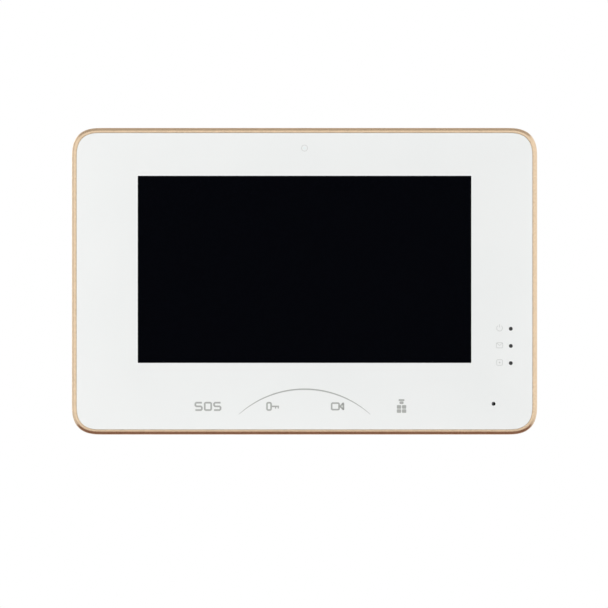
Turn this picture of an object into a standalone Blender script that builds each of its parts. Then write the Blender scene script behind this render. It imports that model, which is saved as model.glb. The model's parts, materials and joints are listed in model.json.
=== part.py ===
"""Indoor monitor of a video intercom, hung on a steel wall plate.

Sizes are in millimetres and become metres in point(). A place is given as x to the right, z up and d
out from the wall, so the front of the monitor looks along -Y. The origin is the middle of the wall
plate's back.
"""

import math

import bmesh
import bpy
from mathutils import Matrix, Vector

MM = 0.001
GAP = 0.3  # clearance between neighbouring pieces

# Driving sizes of the whole monitor
WIDTH = 217.0
HEIGHT = 143.0
CORNER = 12.0  # radius of the outline's corners
GLASS_FRONT = 25.0  # from the wall to the front of the glass
GLASS_THICK = 1.6
RIM_WIDTH = 2.3  # gold rim, seen from the front

# Screen module, a 7 inch panel
SCREEN_Z = 5.5  # height of the screen's middle
MODULE_HALF = (82.5, 50.0)
MODULE_WINDOW_HALF = (78.0, 44.0)
SHEET = 0.4  # thickness of the module's sheet steel

# Front layers, as (nearer the wall, nearer the viewer)
GLASS = (GLASS_FRONT - GLASS_THICK, GLASS_FRONT)
TAPE = (GLASS[0] - 2 * GAP, GLASS[0] - GAP)
FRAME = (17.4, 22.5)
FRAME_PLATE = 1.5
FRAME_WALL = 2.0
SMALL_BOARD = (18.5, 19.5)
PAD = (SMALL_BOARD[1] + GAP, GLASS[0] - GAP)
MODULE = (16.8, 21.8)
SUPPORT = (15.8, 16.5)
MAIN_BOARD = (12.0, 13.6)
CHIP_TOP = MAIN_BOARD[0] - GAP  # the board's components hang from here towards the wall

# Rear cover
COVER_RIM = 16.9
COVER_BACK = 0.8
COVER_WALL = 2.0
RECESS_X = 60.0  # recess that takes the wall plate
RECESS_Z = (-58.5, 51.5)
RECESS_FLOOR = (2.3, 4.3)
POCKET_X = 42.0  # deeper pocket for the cables and connectors
POCKET_Z = (-44.0, -14.0)
POCKET_FLOOR = (14.2, 15.4)
POCKET_WALL = 1.5
SCREW_SPOT = (97.0, 59.0)  # case screws, mirrored left and right, up and down

# Wall plate and its hooks
PLATE_HALF = (58.0, 50.0)
PLATE_THICK = 1.5
HOOK_X = (45.5, 55.5)
HOOK_Z = (30.0, -30.0)
HOOK_RISE = 7.5
HOOK_REACH = 6.2
LIFT = 7.0  # how far the monitor lifts before it comes off its hooks

# Front controls and openings
KEY_X = (-45.0, -15.0, 15.0, 45.0)
KEY_Z = -58.2
LIGHT_X = 95.9
LIGHT_Z = {"power": -22.1, "message": -30.1, "alarm": -38.1}
MIC_SPOT = (87.9, -57.0)
SENSOR_SPOT = (0.0, 61.9)

# Loudspeaker, which faces the wall
SPEAKER_SPOT = (-82.2, -30.0)
SPEAKER_RADIUS = 18.0

# Connector row on the main board
PLUG_X = -2.5
PLUG_PITCH = 5.08
PLUG_SCREW_Z = -19.0
RESET_SPOT = (39.0, 9.8)  # x and d of the reset button's axis
BOARD_SCREWS = ((-54.0, 44.0), (80.0, 44.0), (-54.0, -6.0), (66.0, -6.0))

# Finishes: colour, roughness, metallic
FINISHES = {
    "printed_glass": ((0.90, 0.91, 0.90), 0.08, 0.0),
    "screen_glass": ((0.01, 0.01, 0.015), 0.10, 0.0),
    "clear_film": ((0.80, 0.84, 0.86), 0.15, 0.0),
    "champagne_gold": ((0.78, 0.62, 0.43), 0.25, 1.0),
    "white_abs": ((0.84, 0.84, 0.82), 0.45, 0.0),
    "grey_plastic": ((0.32, 0.33, 0.34), 0.55, 0.0),
    "black_plastic": ((0.03, 0.03, 0.03), 0.50, 0.0),
    "green_plastic": ((0.07, 0.32, 0.14), 0.45, 0.0),
    "clear_acrylic": ((0.85, 0.87, 0.88), 0.10, 0.0),
    "zinc_steel": ((0.62, 0.63, 0.64), 0.35, 1.0),
    "nickel_steel": ((0.70, 0.69, 0.66), 0.25, 1.0),
    "aluminium": ((0.74, 0.75, 0.76), 0.35, 1.0),
    "ferrite": ((0.09, 0.09, 0.10), 0.60, 0.2),
    "circuit_board": ((0.02, 0.20, 0.08), 0.45, 0.0),
    "flex_print": ((0.75, 0.40, 0.08), 0.35, 0.0),
    "foam": ((0.06, 0.06, 0.06), 0.95, 0.0),
    "rubber": ((0.04, 0.04, 0.04), 0.80, 0.0),
    "paper_cone": ((0.10, 0.10, 0.11), 0.90, 0.0),
    "cable_skin": ((0.50, 0.03, 0.03), 0.50, 0.0),
    "emitter": ((0.95, 0.93, 0.80), 0.30, 0.0),
}

CORNER_STEPS = 6
SHARP_ANGLE = math.radians(35)


def clear_scene():
    """Removes whatever the scene holds."""
    for obj in list(bpy.data.objects):
        bpy.data.objects.remove(obj, do_unlink=True)


def material(finish):
    """The Principled material of a finish, made once."""
    if finish in bpy.data.materials:
        return bpy.data.materials[finish]
    colour, roughness, metallic = FINISHES[finish]
    made = bpy.data.materials.new(finish)
    made.use_nodes = True
    shader = made.node_tree.nodes["Principled BSDF"]
    shader.inputs["Base Color"].default_value = (*colour, 1.0)
    shader.inputs["Roughness"].default_value = roughness
    shader.inputs["Metallic"].default_value = metallic
    made.diffuse_color = (*colour, 1.0)
    return made


# Outlines and solids


def point(x, z, d):
    """A place x to the right, z up and d out from the wall, in metres."""
    return Vector((x, -d, z)) * MM


def place(spot, reach, along):
    """A point of an outline, reach along the axis that the outline is drawn across."""
    a, b = spot
    if along == "d":
        return point(a, b, reach)
    if along == "x":
        return point(reach, a, b)
    return point(a, reach, b)


def rectangle(a, b):
    """Corners of a rectangle from its two spans."""
    return [(a[0], b[0]), (a[1], b[0]), (a[1], b[1]), (a[0], b[1])]


def rounded(a, b, radius, steps=CORNER_STEPS):
    """A rectangle from its two spans, with round corners."""
    centres = rectangle((a[0] + radius, a[1] - radius), (b[0] + radius, b[1] - radius))
    outline = []
    for corner, (across, up) in enumerate(centres):
        for step in range(steps + 1):
            angle = math.pi * (1.0 + corner / 2.0) + math.pi / 2.0 * step / steps
            outline.append((across + radius * math.cos(angle), up + radius * math.sin(angle)))
    return outline


def disc(centre, radius, sides=16):
    """A circle as a polygon."""
    angles = [2.0 * math.pi * i / sides for i in range(sides)]
    return [(centre[0] + radius * math.cos(a), centre[1] + radius * math.sin(a)) for a in angles]


def case_outline(inset, radius, steps=CORNER_STEPS):
    """The monitor's outline, drawn in by inset."""
    half_width = WIDTH / 2.0 - inset
    half_height = HEIGHT / 2.0 - inset
    return rounded((-half_width, half_width), (-half_height, half_height), radius, steps)


def around(middle, half):
    """The span of half a size each way about its middle."""
    return (middle - half, middle + half)


def solid(name, sections, finish, along="d", ring=False):
    """A closed body through sections, each an outline and its reach. A ring closes on itself."""
    bm = bmesh.new()
    rows = [[bm.verts.new(place(spot, reach, along)) for spot in outline] for outline, reach in sections]
    following = rows[1:] + (rows[:1] if ring else [])
    for row, after in zip(rows, following):
        for i in range(len(row)):
            j = (i + 1) % len(row)
            bm.faces.new((row[i], row[j], after[j], after[i]))
    if not ring:
        bm.faces.new(rows[0])
        bm.faces.new(rows[-1])
    bmesh.ops.recalc_face_normals(bm, faces=bm.faces)
    mesh = bpy.data.meshes.new(name)
    bm.to_mesh(mesh)
    bm.free()
    mesh.materials.append(material(finish))
    mesh.shade_smooth()
    mesh.set_sharp_from_angle(angle=SHARP_ANGLE)
    obj = bpy.data.objects.new(name, mesh)
    bpy.context.scene.collection.objects.link(obj)
    return obj


def prism(name, outline, span, finish, along="d"):
    """An outline drawn out over a span of its axis."""
    return solid(name, [(outline, span[0]), (outline, span[1])], finish, along)


def block(name, x, z, d, finish):
    """A plain box from its three spans."""
    return prism(name, rectangle(x, z), d, finish)


def turned(name, centre, profile, finish, along="d", ring=False, sides=24):
    """A turned body from (radius, reach) points. A ring's profile closes on itself round an open middle."""
    sections = [(disc(centre, radius, sides), reach) for radius, reach in profile]
    return solid(name, sections, finish, along, ring)


def boolean(body, tool, operation):
    """Leaves a tool out of renders and uses it on the body."""
    tool.hide_render = True
    tool.display_type = "WIRE"
    modifier = body.modifiers.new(tool.name, "BOOLEAN")
    modifier.operation = operation
    modifier.object = tool


def cut(body, outline, span, along="d"):
    """Cuts an outline out of a body over a span of its axis."""
    tool = prism(body.name + "_cut", outline, span, body.data.materials[0].name, along)
    boolean(body, tool, "DIFFERENCE")


def join(body, outline, span, along="d"):
    """Joins an outline, drawn out over a span of its axis, to a body."""
    tool = prism(body.name + "_add", outline, span, body.data.materials[0].name, along)
    boolean(body, tool, "UNION")


def curve_through(points, steps):
    """Points on a smooth curve that passes through each of the given ones."""
    knots = [Vector(p) for p in points]
    knots = [2 * knots[0] - knots[1], *knots, 2 * knots[-1] - knots[-2]]
    curve = []
    for i in range(1, len(knots) - 2):
        before, start, end, after = knots[i - 1 : i + 3]
        for step in range(steps):
            t = step / steps
            bend = 2 * before - 5 * start + 4 * end - after
            twist = 3 * start - before - 3 * end + after
            curve.append(start + 0.5 * t * ((end - before) + t * (bend + t * twist)))
    curve.append(knots[-2])
    return curve


def ribbon(name, x, route, thickness, finish):
    """A flat ribbon as wide as the span x, along a route of (z, d) points."""
    path = curve_through(route, 3)
    front, back = [], []
    for i, spot in enumerate(path):
        along = (path[min(i + 1, len(path) - 1)] - path[max(i - 1, 0)]).normalized()
        side = Vector((-along.y, along.x)) * thickness / 2.0
        front.append(spot + side)
        back.append(spot - side)
    return prism(name, front + back[::-1], x, finish, "x")


def tube(name, route, radius, finish):
    """A round lead along a route of (x, z, d) points."""
    path = [point(*spot) for spot in curve_through(route, 4)]
    curve = bpy.data.curves.new(name, "CURVE")
    curve.dimensions = "3D"
    curve.bevel_depth = radius * MM
    curve.bevel_resolution = 2
    curve.use_fill_caps = True
    spline = curve.splines.new("POLY")
    spline.points.add(len(path) - 1)
    for knot, spot in zip(spline.points, path):
        knot.co = (*spot, 1.0)
    curve.materials.append(material(finish))
    obj = bpy.data.objects.new(name, curve)
    bpy.context.scene.collection.objects.link(obj)
    return obj


def joint_frame(name, spot, pieces, parent=None):
    """An empty on a joint's axis that carries the pieces it moves."""
    empty = bpy.data.objects.new(name, None)
    empty.location = spot
    bpy.context.scene.collection.objects.link(empty)
    for piece in pieces:
        piece.parent = empty
        piece.matrix_parent_inverse = Matrix.Translation(-spot)
    if parent:
        empty.parent = parent
        empty.matrix_parent_inverse = Matrix.Translation(-parent.location)
    return empty


def four_spots(spot):
    """A place and its mirror images, left and right, up and down."""
    x, z = spot
    return [(-x, z), (x, z), (-x, -z), (x, -z)]


# Front: glass, rim, frame


def front_glass():
    glass = prism("front_glass", case_outline(RIM_WIDTH + GAP, CORNER - RIM_WIDTH), GLASS, "printed_glass")
    cut(glass, disc(MIC_SPOT, 0.65, 12), (GLASS[0] - 1.0, GLASS[1] + 1.0))
    return glass


def glass_adhesive():
    outer = case_outline(3.2, 8.8)
    inner = case_outline(6.7, 5.3)
    back, front = TAPE
    sections = [(outer, back), (outer, front), (inner, front), (inner, back)]
    return solid("glass_adhesive", sections, "foam", ring=True)


def gold_trim():
    """The rim: a flat side, a front edge that rolls over towards the glass, and a straight inner wall."""
    back = 17.2
    shoulder = 22.6
    crest = GLASS_FRONT + 0.1
    roll = RIM_WIDTH * 0.96  # how far the front edge rolls in
    profile = [(0.0, back), (0.0, shoulder)]
    for step in range(1, 6):
        angle = math.pi / 2.0 * step / 5
        profile.append((roll * (1.0 - math.cos(angle)), shoulder + (crest - shoulder) * math.sin(angle)))
    profile += [(RIM_WIDTH, crest - 0.1), (RIM_WIDTH, back)]
    sections = [(case_outline(inset, CORNER - inset, 8), d) for inset, d in profile]
    return solid("gold_trim", sections, "champagne_gold", ring=True)


def front_frame():
    """The moulded frame behind the glass, open for the screen, the keys, the lights and the microphone."""
    plate_back = FRAME[1] - FRAME_PLATE
    through = (plate_back - 1.0, FRAME[1] + 1.0)
    frame = prism("front_frame", case_outline(2.8, 9.5), FRAME, "white_abs")
    cut(frame, case_outline(2.8 + FRAME_WALL, 7.5), (FRAME[0] - 1.0, plate_back))
    window = (around(0.0, MODULE_HALF[0] + 0.5), around(SCREEN_Z, MODULE_HALF[1] + 0.5))
    cut(frame, rectangle(*window), through)
    for x in KEY_X:
        cut(frame, rectangle(around(x, 4.5), around(KEY_Z, 3.5)), through)
    cut(frame, rectangle((92.2, 99.6), (-42.0, -18.2)), through)
    cut(frame, disc(MIC_SPOT, 4.3), through)
    cut(frame, disc(SENSOR_SPOT, 2.8), through)
    for spot in four_spots(SCREW_SPOT):
        join(frame, disc(spot, 3.5), (11.8, plate_back + 0.5))
        cut(frame, disc(spot, 1.7, 12), (11.0, 18.5))
    return frame


# Screen module


def touch_sensor():
    return block("touch_sensor", around(0.0, 80.0), around(SCREEN_Z, 47.0), TAPE, "clear_film")


def lcd_gasket():
    outer = rectangle(around(0.0, 81.5), around(SCREEN_Z, 49.0))
    inner = rectangle(around(0.0, 78.25), around(SCREEN_Z, 44.25))
    front, back = TAPE[0] - GAP, MODULE[1] + GAP
    sections = [(outer, back), (outer, front), (inner, front), (inner, back)]
    return solid("lcd_gasket", sections, "foam", ring=True)


def lcd_bezel():
    """The steel surround that holds the screen's layers, with a slot in its top for the ribbon."""
    across, up = MODULE_HALF
    bezel = block("lcd_bezel", around(0.0, across), around(SCREEN_Z, up), MODULE, "nickel_steel")
    inside = rectangle(around(0.0, across - SHEET), around(SCREEN_Z, up - SHEET))
    cut(bezel, inside, (MODULE[0] - 1.0, MODULE[1] - SHEET))
    window = rectangle(around(0.0, MODULE_WINDOW_HALF[0]), around(SCREEN_Z, MODULE_WINDOW_HALF[1]))
    cut(bezel, window, (MODULE[1] - 1.0, MODULE[1] + 1.0))
    cut(bezel, rectangle((-51.0, -24.0), (SCREEN_Z + up - 0.6, SCREEN_Z + up + 1.0)), (17.4, 19.4))
    return bezel


def lcd_layers():
    """Screen cell, light guide with its strip of lamps below, and the tray behind them."""
    inner = MODULE_HALF[0] - SHEET - GAP
    inner_z = around(SCREEN_Z, MODULE_HALF[1] - SHEET - GAP)
    cell = block("lcd_cell", around(0.0, inner), inner_z, (20.0, MODULE[1] - SHEET - GAP), "screen_glass")
    guide = block("light_guide", around(0.0, inner), (-40.8, 54.4), (17.6, 19.7), "clear_acrylic")
    strip = block("backlight_strip", around(0.0, 75.0), (-43.7, -41.2), (17.7, 19.5), "emitter")
    tray = block("lcd_tray", around(0.0, inner), inner_z, (16.9, 17.3), "zinc_steel")
    return [cell, guide, strip, tray]


def lcd_flex():
    """The screen's ribbon, out of the bezel's top slot and over the support plate to the main board."""
    route = [(54.9, 18.4), (56.5, 18.4), (58.0, 17.8), (58.5, 16.2)]
    route += [(58.0, 14.9), (56.2, 14.35), (50.0, 14.2), (42.0, 14.1)]
    return ribbon("lcd_flex", (-50.0, -25.0), route, 0.2, "flex_print")


def support_plate():
    """Steel plate behind the screen, with ears round the frame's screw bosses and the board's stand-offs."""
    plate = block("support_plate", around(0.0, 84.0), (-46.0, 57.0), SUPPORT, "zinc_steel")
    for low, high in ((-102.6, -80.0), (80.0, 102.6)):
        join(plate, rounded((low, high), (52.0, 65.0), 3.0, 3), SUPPORT)
        join(plate, rounded((low, high), (-65.0, -42.0), 3.0, 3), SUPPORT)
    for spot in four_spots(SCREW_SPOT):
        cut(plate, disc(spot, 3.8), (SUPPORT[0] - 1.0, SUPPORT[1] + 1.0))
    for spot in BOARD_SCREWS:
        join(plate, disc(spot, 3.0, 12), (MAIN_BOARD[1] + GAP, SUPPORT[1] - 0.2))
        cut(plate, disc(spot, 1.5, 12), (MAIN_BOARD[1] - 1.0, SUPPORT[1] + 1.0))
    return plate


# Main board and what it carries


def main_board():
    """The circuit board, cut out at its lower edge for the sunk network jack."""
    board = block("main_board", (-60.0, 100.0), (-12.0, 50.0), MAIN_BOARD, "circuit_board")
    through = (MAIN_BOARD[0] - 1.0, MAIN_BOARD[1] + 1.0)
    cut(board, rectangle((-40.3, -23.7), (-13.0, 4.0)), through)
    for spot in BOARD_SCREWS:
        cut(board, disc(spot, 1.5, 12), through)
    return board


def board_parts():
    """Processor with its finned heat sink, memory, two capacitors and the wireless module."""
    chip = (CHIP_TOP - 1.2, CHIP_TOP)
    processor = block("processor", around(0.0, 8.0), around(22.0, 8.0), chip, "black_plastic")
    memory = block("memory_chip", (16.0, 26.0), (16.0, 28.0), chip, "black_plastic")
    wireless = block("wifi_module", (60.0, 74.0), (28.0, 48.0), (CHIP_TOP - 2.2, CHIP_TOP), "nickel_steel")
    parts = [processor, memory, wireless, heat_sink()]
    for number, z in enumerate((28.0, 19.0), 1):
        profile = [(2.9, 5.8), (3.15, 6.1), (3.15, CHIP_TOP)]
        parts.append(turned(f"capacitor_{number}", (-36.0, z), profile, "aluminium", sides=20))
    return parts


def heat_sink():
    """A comb of fins that stand towards the wall, on a base over the processor."""
    base = (CHIP_TOP - 3.0, CHIP_TOP - 1.5)
    fin_tip, fin, pitch, fins = 5.0, 1.2, 3.4, 7
    left = -(pitch * (fins - 1) + fin) / 2.0
    outline = [(-left, base[1]), (left, base[1])]
    for i in range(fins):
        start = left + pitch * i
        if i:
            outline.append((start, base[0]))
        outline += [(start, fin_tip), (start + fin, fin_tip)]
        if i < fins - 1:
            outline.append((start + fin, base[0]))
    return prism("heat_sink", outline, around(22.0, 11.0), "aluminium", "z")


def lan_jack():
    jack = block("lan_jack", (-40.0, -24.0), (-14.2, 3.7), (4.6, 15.4), "nickel_steel")
    cut(jack, rectangle((-37.9, -26.1), (-15.0, -1.2)), (5.2, 13.4))
    return jack


def power_socket():
    socket = block("power_socket", around(PLUG_X, 5.7), (-13.8, -4.5), (4.5, CHIP_TOP), "green_plastic")
    cut(socket, rectangle(around(PLUG_X, 4.7), (-15.0, -6.0)), (5.0, 9.4))
    return socket


def alarm_header():
    """A shrouded row of pins for the alarm wires."""
    header = block("alarm_header", (10.0, 32.0), (-13.8, -5.0), (7.1, CHIP_TOP), "black_plastic")
    cut(header, rectangle((10.8, 31.2), (-15.0, -6.5)), (7.8, 11.0))
    pitch, pins = 2.5, 8
    for i in range(pins):
        x = 21.0 + pitch * (i - (pins - 1) / 2.0)
        join(header, rectangle(around(x, 0.3), around(9.4, 0.3)), (-12.6, -6.0), "z")
    return header


def card_socket():
    socket = block("card_socket", (86.5, 101.0), (12.0, 27.0), (10.0, CHIP_TOP), "nickel_steel")
    cut(socket, rectangle((88.5, 102.0), (13.8, 25.2)), (10.4, 11.3))
    return socket


def reset_switch():
    x, d = RESET_SPOT
    switch = block("reset_switch", around(x, 3.0), (-10.6, -6.6), (8.0, CHIP_TOP), "black_plastic")
    join(switch, disc((x, d), 1.1, 12), (-10.9, -10.0), "z")
    return switch


def reset_button():
    """A flanged pin through the pocket's top wall, under the switch."""
    profile = [(1.0, -15.2), (1.0, -12.2), (1.8, -12.2), (1.8, -11.4)]
    return turned("reset_button", RESET_SPOT, profile, "grey_plastic", "z", sides=16)


def power_plug():
    """The two-way screw terminal that pulls down out of its socket."""
    plug = block("power_plug", around(PLUG_X, 4.8), (-26.0, -14.3), (3.6, 9.8), "green_plastic")
    join(plug, rectangle(around(PLUG_X, 4.3), (-16.0, -6.6)), (5.4, 9.0))
    for x in around(PLUG_X, PLUG_PITCH / 2.0):
        cut(plug, disc((x, PLUG_SCREW_Z), 1.8), (2.0, 6.4))
        cut(plug, rectangle(around(x, 1.3), (-28.0, -16.0)), (6.9, 9.5))
    return plug


def slotted_screw(name, spot, profile, slot_half, slot_depth, finish):
    """A turned screw whose head faces the wall, with a slot across it."""
    x, z = spot
    head = profile[0][1]
    screw = turned(name, spot, profile, finish, sides=16)
    across = profile[0][0] + 1.0
    cut(screw, rectangle(around(x, across), around(z, slot_half)), (head - 1.0, head + slot_depth))
    return screw


def clamp_screws():
    profile = [(1.4, 3.9), (1.5, 4.0), (1.5, 6.0)]
    spots = [(x, PLUG_SCREW_Z) for x in around(PLUG_X, PLUG_PITCH / 2.0)]
    return [
        slotted_screw(f"clamp_screw_{number}", spot, profile, 0.3, 0.7, "nickel_steel")
        for number, spot in enumerate(spots, 1)
    ]


def board_screws():
    head = CHIP_TOP - 1.3
    profile = [(2.2, head), (2.5, head + 0.4), (2.5, CHIP_TOP), (1.2, CHIP_TOP), (1.2, 15.6)]
    return [
        slotted_screw(f"board_screw_{number}", spot, profile, 0.35, 0.6, "zinc_steel")
        for number, spot in enumerate(BOARD_SCREWS, 1)
    ]


def case_screws():
    profile = [(2.4, 3.2), (2.7, 3.6), (2.7, 5.2), (1.4, 5.2), (1.4, 18.0)]
    return [
        slotted_screw(f"case_screw_{number}", spot, profile, 0.4, 0.9, "zinc_steel")
        for number, spot in enumerate(four_spots(SCREW_SPOT), 1)
    ]


# Keys, lights, microphone and sensor


def keys():
    """The touch keys' board, a conductive pad for each key, and the board's ribbon."""
    board = block("key_board", around(0.0, 60.0), (-66.0, -50.0), SMALL_BOARD, "circuit_board")
    pieces = [board]
    for number, x in enumerate(KEY_X, 1):
        pieces.append(block(f"key_pad_{number}", around(x, 4.0), around(KEY_Z, 3.0), PAD, "foam"))
    route = [(-60.0, 18.1), (-54.0, 18.05), (-50.5, 17.2), (-48.6, 15.6)]
    route += [(-46.0, 14.8), (-40.0, 14.65), (-16.0, 14.6), (-6.0, 14.1)]
    pieces.append(ribbon("key_flex", (48.0, 56.0), route, 0.2, "flex_print"))
    return pieces


def indicators():
    """The three lights, their board and the shroud that keeps their light apart."""
    board = block("indicator_board", (88.0, 102.0), (-44.0, -16.0), SMALL_BOARD, "circuit_board")
    shroud = block("led_shroud", (92.5, 99.3), (-41.7, -18.5), PAD, "black_plastic")
    pieces = [board, shroud]
    for name, z in LIGHT_Z.items():
        cut(shroud, disc((LIGHT_X, z), 1.3, 12), (PAD[0] - 1.0, PAD[1] + 1.0))
        lamp = (PAD[0], PAD[0] + 0.9)
        pieces.append(block(f"led_{name}", around(LIGHT_X, 0.8), around(z, 0.4), lamp, "emitter"))
    return pieces


def microphone():
    """The capsule in its rubber boot, behind the hole in the glass."""
    boot_front = GLASS[0] - GAP
    boot_profile = [(0.65, 21.1), (3.3, 21.1), (3.3, 18.0)]
    boot_profile += [(4.0, 18.0), (4.0, boot_front), (0.65, boot_front)]
    boot = turned("mic_boot", MIC_SPOT, boot_profile, "rubber", ring=True)
    capsule = turned("microphone", MIC_SPOT, [(3.0, 18.3), (3.0, 20.5), (2.7, 20.8)], "aluminium")
    return [boot, capsule]


def light_sensor():
    """The room-light sensor on its board, in a short tube behind the glass."""
    x, z = SENSOR_SPOT
    board = block("sensor_board", around(x, 7.0), around(z, 3.5), SMALL_BOARD, "circuit_board")
    join(board, rectangle(around(x, 0.9), around(z, 0.9)), (SMALL_BOARD[1] - 0.5, SMALL_BOARD[1] + 0.8))
    tube_profile = [(1.6, PAD[0]), (2.5, PAD[0]), (2.5, PAD[1]), (1.6, PAD[1])]
    holder = turned("sensor_holder", SENSOR_SPOT, tube_profile, "black_plastic", ring=True, sides=20)
    return [board, holder]


# Loudspeaker


def speaker():
    """Gasket, basket, magnet and lead. The cone moves, so it is made apart."""
    outer = SPEAKER_RADIUS
    gasket_profile = [(15.5, 3.1), (outer, 3.1), (outer, 3.6), (15.5, 3.6)]
    gasket = turned("speaker_gasket", SPEAKER_SPOT, gasket_profile, "foam", ring=True)
    shell = [(15.2, 3.9), (outer, 3.9), (outer, 4.9), (16.4, 4.9), (10.0, 9.0), (6.0, 9.0), (6.0, 8.2)]
    shell += [(9.6, 8.2), (15.2, 4.7)]
    basket = turned("speaker_basket", SPEAKER_SPOT, shell, "zinc_steel", ring=True)
    magnet = turned("speaker_magnet", SPEAKER_SPOT, [(10.0, 9.3), (10.0, 14.0), (9.6, 14.3)], "ferrite")
    route = [(-70.0, -16.5, 6.5), (-67.0, -11.0, 8.5), (-63.5, -4.0, 10.2)]
    route += [(-59.0, 3.0, 10.9), (-54.0, 8.0, 10.9)]
    lead = tube("speaker_lead", route, 0.7, "cable_skin")
    return [gasket, basket, magnet, lead]


def speaker_cone():
    """Dust cap, cone and voice coil in one moving piece."""
    profile = [(1.6, 4.9), (3.2, 5.3), (5.0, 6.3), (14.6, 4.2), (14.6, 4.6)]
    profile += [(5.4, 6.8), (5.4, 8.7), (4.9, 8.7), (4.9, 6.9), (3.0, 5.8), (1.6, 5.4)]
    return turned("speaker_cone", SPEAKER_SPOT, profile, "paper_cone")


# Rear cover, catch and wall plate


def rear_cover():
    """The back shell, with the wall plate's recess, the cable pocket and four screw tubes."""
    outside = [(7.0, COVER_BACK, 6.5), (5.0, 3.0, 8.0), (1.5, COVER_RIM, 10.8)]
    inside = [(7.2, COVER_BACK + COVER_WALL, 6.0), (1.5 + COVER_WALL - 0.15, COVER_RIM + 0.6, 8.8)]
    cover = solid("rear_cover", case_sections(outside), "white_abs")
    hollow = solid("rear_cover_hollow", case_sections(inside), "white_abs")
    boolean(cover, hollow, "DIFFERENCE")

    recess = (around(0.0, RECESS_X), RECESS_Z)
    pocket = (around(0.0, POCKET_X), POCKET_Z)
    join(cover, rectangle(*grown(recess, COVER_WALL)), (COVER_BACK + 0.6, RECESS_FLOOR[1]))
    join(cover, rectangle(*grown(pocket, POCKET_WALL)), (COVER_BACK + 0.6, POCKET_FLOOR[1]))
    for spot in four_spots(SCREW_SPOT):
        join(cover, disc(spot, 4.0), (COVER_BACK + 0.6, 11.5))
    cut(cover, rectangle(*recess), (-1.0, RECESS_FLOOR[0]))
    cut(cover, rectangle(*pocket), (-1.0, POCKET_FLOOR[0]))
    for spot in four_spots(SCREW_SPOT):
        cut(cover, disc(spot, 3.0), (-1.0, 5.5))
        cut(cover, disc(spot, 1.7, 12), (5.0, 12.5))

    cut_hook_slots(cover)
    cut_connector_holes(cover)
    cut_vents(cover)
    cut(cover, rectangle((100.0, 110.0), (13.4, 25.6)), (10.1, 11.6))
    return cover


def case_sections(profile):
    """Sections of the monitor's outline from (inset, d, corner radius) points."""
    return [(case_outline(inset, radius), d) for inset, d, radius in profile]


def grown(spans, margin):
    """A pair of spans, each longer by the margin at both ends."""
    return [(low - margin, high + margin) for low, high in spans]


def cut_hook_slots(cover):
    """Slots for the wall plate's hooks, and the hole for the catch's nose."""
    floor = (RECESS_FLOOR[0] - 1.0, RECESS_FLOOR[1] + 1.0)
    slot_x = (HOOK_X[0] - 0.5, HOOK_X[1] + 0.5)
    for hook_z in HOOK_Z:
        slot_z = (hook_z - LIFT - 0.2, hook_z + PLATE_THICK + GAP)
        cut(cover, rectangle(slot_x, slot_z), floor)
        cut(cover, rectangle((-slot_x[1], -slot_x[0]), slot_z), floor)
    cut(cover, rectangle(around(0.0, 6.5), (-56.0, -49.8)), floor)


def cut_connector_holes(cover):
    """Openings in the pocket's top wall for the jack, the power socket, the header and the reset button."""
    wall = (POCKET_Z[1] - 0.6, POCKET_Z[1] + POCKET_WALL + 0.5)
    cut(cover, rectangle((-40.4, -23.6), (4.2, 15.9)), wall, "z")
    cut(cover, rectangle(around(PLUG_X, 6.0), (4.2, 12.0)), wall, "z")
    cut(cover, rectangle((9.7, 32.3), (6.8, 12.0)), wall, "z")
    cut(cover, disc(RESET_SPOT, 1.3, 12), wall, "z")


def cut_vents(cover):
    """Rows of slots: over the loudspeaker, as long as its circle allows, and along the top for cooling."""
    back = (COVER_BACK - 1.0, COVER_BACK + COVER_WALL + 0.2)
    x, z = SPEAKER_SPOT
    reach, pitch = 13.0, 4.0
    for row in range(-3, 4):
        rise = row * pitch
        half = math.sqrt(reach**2 - rise**2) if abs(rise) < reach else 0.0
        cut(cover, rectangle(around(x, half), around(z + rise, 0.9)), back)
    for column in range(-6, 7):
        cut(cover, rectangle(around(column * 8.0, 1.0), (56.0, 61.0)), back)


def lock_catch():
    """A catch whose nose reaches under the wall plate's lower edge. Its ramp rides up that edge."""
    nose = [(-50.3, 5.5), (-50.3, 1.5), (-54.0, 0.4), (-55.5, 0.4), (-55.5, 5.5)]
    catch = block("lock_catch", around(0.0, 7.0), (-57.0, -47.5), (4.6, 7.6), "grey_plastic")
    join(catch, nose, around(0.0, 6.0), "x")
    join(catch, rectangle(around(0.0, 15.0), (-54.0, -51.0)), (6.2, 7.0))
    return catch


def wall_plate():
    """The steel plate on the wall, with four upturned hooks, holes for screws and a cable window."""
    through = (-1.0, PLATE_THICK + 1.0)
    across, up = PLATE_HALF
    outline = rounded(around(0.0, across), around(0.0, up), 4.0)
    plate = prism("wall_plate", outline, (0.0, PLATE_THICK), "zinc_steel")
    cut(plate, rounded(around(0.0, 28.0), (-42.0, -12.0), 2.0, 3), through)
    for x in (-30.0, 30.0):
        cut(plate, rounded(around(x, 2.1), around(0.0, 5.0), 2.09, 4), through)
    for spot in four_spots((36.0, 42.0)):
        cut(plate, disc(spot, 2.25), through)
    for hook_z in HOOK_Z:
        for x in (HOOK_X, (-HOOK_X[1], -HOOK_X[0])):
            window = rectangle((x[0] - 0.3, x[1] + 0.3), (hook_z + PLATE_THICK + 0.3, hook_z + 13.5))
            cut(plate, window, through)
            join(plate, hook_outline(hook_z), x, "x")
    return plate


def hook_outline(z):
    """A hook from the side: an arm out of the plate and a tab that turns up."""
    inner = HOOK_REACH - PLATE_THICK
    top = z + HOOK_RISE
    arm = z + PLATE_THICK
    return [(z, 0.8), (z, HOOK_REACH), (top, HOOK_REACH), (top, inner), (arm, inner), (arm, 0.8)]


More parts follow.
